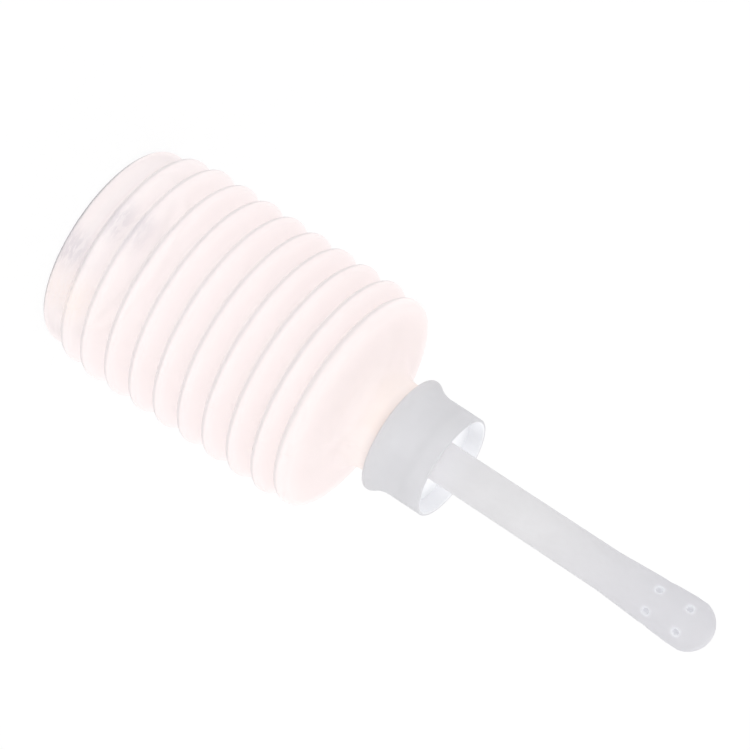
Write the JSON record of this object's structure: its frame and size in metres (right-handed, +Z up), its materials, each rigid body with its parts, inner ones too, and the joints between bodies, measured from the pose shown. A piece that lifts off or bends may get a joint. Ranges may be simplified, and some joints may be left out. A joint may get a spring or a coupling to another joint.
{
  "type": "squeeze bottle",
  "caption": "Accordion squeeze bottle that stands on its base, with a screw collar clamping a long round-tipped spray nozzle.",
  "frame": {"origin": "centre of the foot on the surface the bottle stands on", "axes": "+Z up along the axis of the bottle and nozzle, towards the nozzle's tip; X and Y are alike, and one pair of spray holes lies either side of +X"},
  "size_m": [0.07, 0.07, 0.213],
  "materials": {
    "bottle_wall": "translucent blown polyethylene, pale pink, satin",
    "collar_plastic": "opaque white, satin",
    "nozzle_plastic": "opaque white, satin",
    "washer_rubber": "soft, matt"
  },
  "bodies": {
    "base": {"bottle_base": "bottle_wall"},
    "fold_1": {"fold_1": "bottle_wall"},
    "fold_2": {"fold_2": "bottle_wall"},
    "fold_3": {"fold_3": "bottle_wall"},
    "fold_4": {"fold_4": "bottle_wall"},
    "fold_5": {"fold_5": "bottle_wall"},
    "fold_6": {"fold_6": "bottle_wall"},
    "fold_7": {"fold_7": "bottle_wall"},
    "fold_8": {"fold_8": "bottle_wall"},
    "fold_9": {"fold_9": "bottle_wall"},
    "shoulder": {"bottle_shoulder": "bottle_wall"},
    "nozzle": {"sealing_washer": "washer_rubber", "nozzle": "nozzle_plastic"},
    "collar": {"screw_collar": "collar_plastic"}
  },
  "joints": [
    {"name": "bottle_squeeze", "type": "slide", "parent": "base", "child": "shoulder", "axis": [0, 0, -1], "range_m": [0, 0.042], "stiffness_N_per_m": 300, "springref_m": -0.003},
    {"name": "fold_1_squeeze", "type": "slide", "parent": "base", "child": "fold_1", "axis": [0, 0, -1], "range_m": [0, 0.00245], "deforming": ["fold_1"]},
    {"name": "fold_2_squeeze", "type": "slide", "parent": "base", "child": "fold_2", "axis": [0, 0, -1], "range_m": [0, 0.00678], "deforming": ["fold_2"]},
    {"name": "fold_3_squeeze", "type": "slide", "parent": "base", "child": "fold_3", "axis": [0, 0, -1], "range_m": [0, 0.01154], "deforming": ["fold_3"]},
    {"name": "fold_4_squeeze", "type": "slide", "parent": "base", "child": "fold_4", "axis": [0, 0, -1], "range_m": [0, 0.0163], "deforming": ["fold_4"]},
    {"name": "fold_5_squeeze", "type": "slide", "parent": "base", "child": "fold_5", "axis": [0, 0, -1], "range_m": [0, 0.02107], "deforming": ["fold_5"]},
    {"name": "fold_6_squeeze", "type": "slide", "parent": "base", "child": "fold_6", "axis": [0, 0, -1], "range_m": [0, 0.02583], "deforming": ["fold_6"]},
    {"name": "fold_7_squeeze", "type": "slide", "parent": "base", "child": "fold_7", "axis": [0, 0, -1], "range_m": [0, 0.03059], "deforming": ["fold_7"]},
    {"name": "fold_8_squeeze", "type": "slide", "parent": "base", "child": "fold_8", "axis": [0, 0, -1], "range_m": [0, 0.03536], "deforming": ["fold_8"]},
    {"name": "fold_9_squeeze", "type": "slide", "parent": "base", "child": "fold_9", "axis": [0, 0, -1], "range_m": [0, 0.04012], "deforming": ["fold_9"]},
    {"name": "collar_rise", "type": "slide", "parent": "shoulder", "child": "nozzle", "axis": [0, 0, 1], "range_m": [0, 0.006]},
    {"name": "collar_turn", "type": "hinge", "parent": "nozzle", "child": "collar", "pos_m": [0, 0, 0.115], "axis": [0, 0, 1], "range_deg": [0, 722]}
  ],
  "couplings": [
    {"joint": "fold_1_squeeze", "follows": "bottle_squeeze", "ratio": 0.046392},
    {"joint": "fold_2_squeeze", "follows": "bottle_squeeze", "ratio": 0.14949},
    {"joint": "fold_3_squeeze", "follows": "bottle_squeeze", "ratio": 0.26289},
    {"joint": "fold_4_squeeze", "follows": "bottle_squeeze", "ratio": 0.37629},
    {"joint": "fold_5_squeeze", "follows": "bottle_squeeze", "ratio": 0.48969},
    {"joint": "fold_6_squeeze", "follows": "bottle_squeeze", "ratio": 0.60309},
    {"joint": "fold_7_squeeze", "follows": "bottle_squeeze", "ratio": 0.71649},
    {"joint": "fold_8_squeeze", "follows": "bottle_squeeze", "ratio": 0.8299},
    {"joint": "fold_9_squeeze", "follows": "bottle_squeeze", "ratio": 0.9433},
    {"joint": "collar_turn", "follows": "collar_rise", "rad_per_m": 2094.4}
  ]
}
